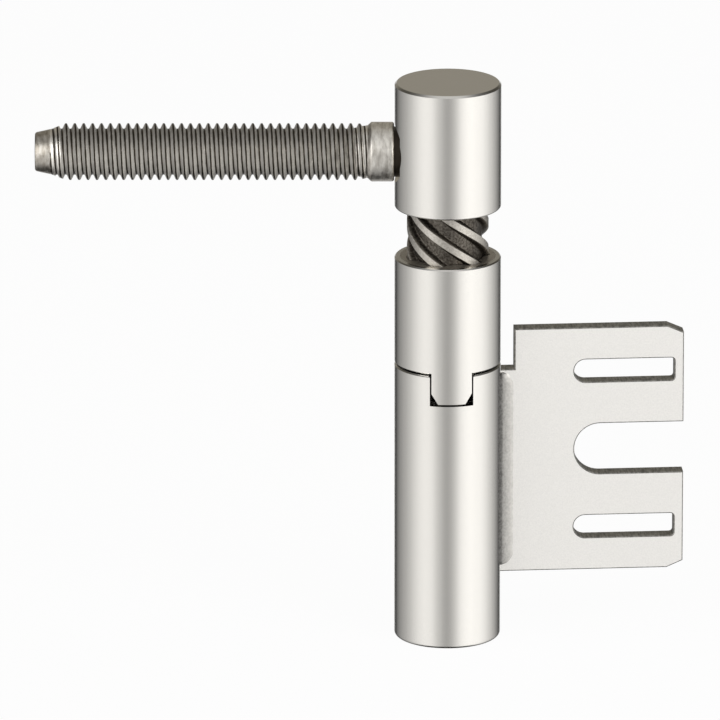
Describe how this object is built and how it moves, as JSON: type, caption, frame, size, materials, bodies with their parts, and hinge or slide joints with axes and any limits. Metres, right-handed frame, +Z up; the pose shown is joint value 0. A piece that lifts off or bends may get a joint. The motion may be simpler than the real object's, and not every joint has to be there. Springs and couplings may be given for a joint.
{
  "type": "drill-in hinge",
  "caption": "Rising lift-off drill-in hinge: a door cap with a screw-in stud climbs a steep spindle in a keyed sleeve above a barrel with a slotted frame plate.",
  "frame": {"origin": "on the hinge axis, in the bottom face of the frame barrel", "axes": "+Z up along the hinge axis, +X from the axis along the frame plate, Y across the plate's thickness"},
  "size_m": [0.0914, 0.0157, 0.0812],
  "materials": {
    "plated_steel": "satin nickel-coloured zinc plating on turned steel",
    "plate_steel": "matt zinc plating on blanked sheet steel",
    "weld_steel": "plated weld bead",
    "bare_steel": "oiled bare steel with rubbed thread crests",
    "spindle_steel": "oiled bare steel with rubbed lands",
    "bearing_plastic": "moulded acetal"
  },
  "bodies": {
    "frame_half": {"frame_barrel": "plated_steel", "frame_plate": "plate_steel", "weld_seams": "weld_steel", "pin_bush": "bearing_plastic"},
    "sleeve_body": {"guide_sleeve": "plated_steel", "lift_nut": "spindle_steel"},
    "washer_body": {"thrust_washer": "bearing_plastic"},
    "door_half": {"lift_spindle": "spindle_steel", "door_cap": "plated_steel", "door_stud": "bare_steel"}
  },
  "joints": [
    {"name": "lift_off", "type": "slide", "parent": "frame_half", "child": "sleeve_body", "axis": [0, 0, 1], "range_m": [0, 0.038]},
    {"name": "door_rise", "type": "slide", "parent": "sleeve_body", "child": "washer_body", "axis": [0, 0, 1], "range_m": [-0.00685, 0.00392]},
    {"name": "door_turn", "type": "hinge", "parent": "washer_body", "child": "door_half", "pos_m": [0, 0, 0.0634], "axis": [0, 0, -1], "range_deg": [-105, 60]}
  ],
  "couplings": [
    {"joint": "door_rise", "follows": "door_turn", "m_per_rad": 0.0037401}
  ]
}
